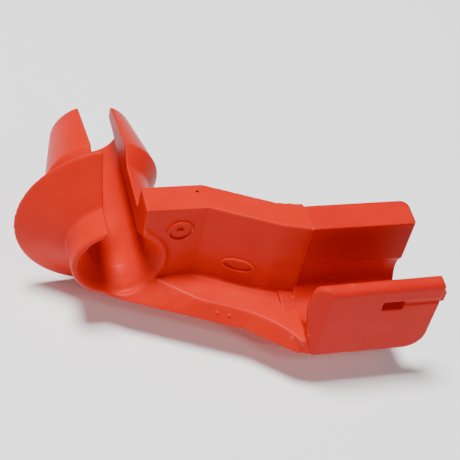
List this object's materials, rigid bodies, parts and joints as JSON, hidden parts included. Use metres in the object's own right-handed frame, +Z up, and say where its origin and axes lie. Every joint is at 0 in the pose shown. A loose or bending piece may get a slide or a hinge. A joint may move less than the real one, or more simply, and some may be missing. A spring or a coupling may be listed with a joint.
{
  "type": "stay rod holder clip",
  "caption": "Moulded snap-in clip: a slotted barbed sleeve with a sealing skirt takes a cranked rod's end, and an offset arm with a spring lip grips its shank.",
  "frame": {"origin": "on the sleeve's axis, at the front end of its neck, where the near face of the panel lies", "axes": "+X along the held rod from the sleeve towards the jaw, +Y along the sleeve towards the tip of its barbs, +Z up, the way the jaw opens"},
  "size_m": [0.0503, 0.0351, 0.0238],
  "materials": {
    "body_moulding": "semi-gloss injection-moulded orange-red nylon, fine grain",
    "sleeve_moulding": "semi-gloss injection-moulded orange-red nylon, smooth drafted faces",
    "lip_moulding": "semi-gloss injection-moulded orange-red nylon, satin"
  },
  "bodies": {
    "clip_body": {"boss_shell": "sleeve_moulding", "arm_root_wall": "body_moulding", "arm_crank_wall": "body_moulding", "arm_end_wall": "body_moulding", "apron_floor": "body_moulding", "crank_floor": "body_moulding", "gusset_floor": "body_moulding", "seat_ramp": "body_moulding", "jaw_wall": "body_moulding", "jaw_floor": "body_moulding", "lip_sill": "body_moulding", "ring_mark": "body_moulding", "oval_mark": "body_moulding", "size_pips": "body_moulding", "right_neck": "sleeve_moulding", "right_barb": "sleeve_moulding"},
    "left_half": {"left_boss": "sleeve_moulding", "left_neck": "sleeve_moulding", "left_barb": "sleeve_moulding", "skirt": "sleeve_moulding"},
    "lip": {"jaw_lip": "lip_moulding", "gate_stub": "lip_moulding"}
  },
  "joints": [
    {"name": "left_half_flex", "type": "hinge", "parent": "clip_body", "child": "left_half", "pos_m": [0, 0, -0.0039], "axis": [0, 1, 0], "range_deg": [-2, 10], "stiffness_Nm_per_rad": 0.5},
    {"name": "lip_flex", "type": "hinge", "parent": "clip_body", "child": "lip", "pos_m": [0.0297, -0.0192, -0.00335], "axis": [1, 0, 0], "range_deg": [0, 8], "stiffness_Nm_per_rad": 1}
  ]
}
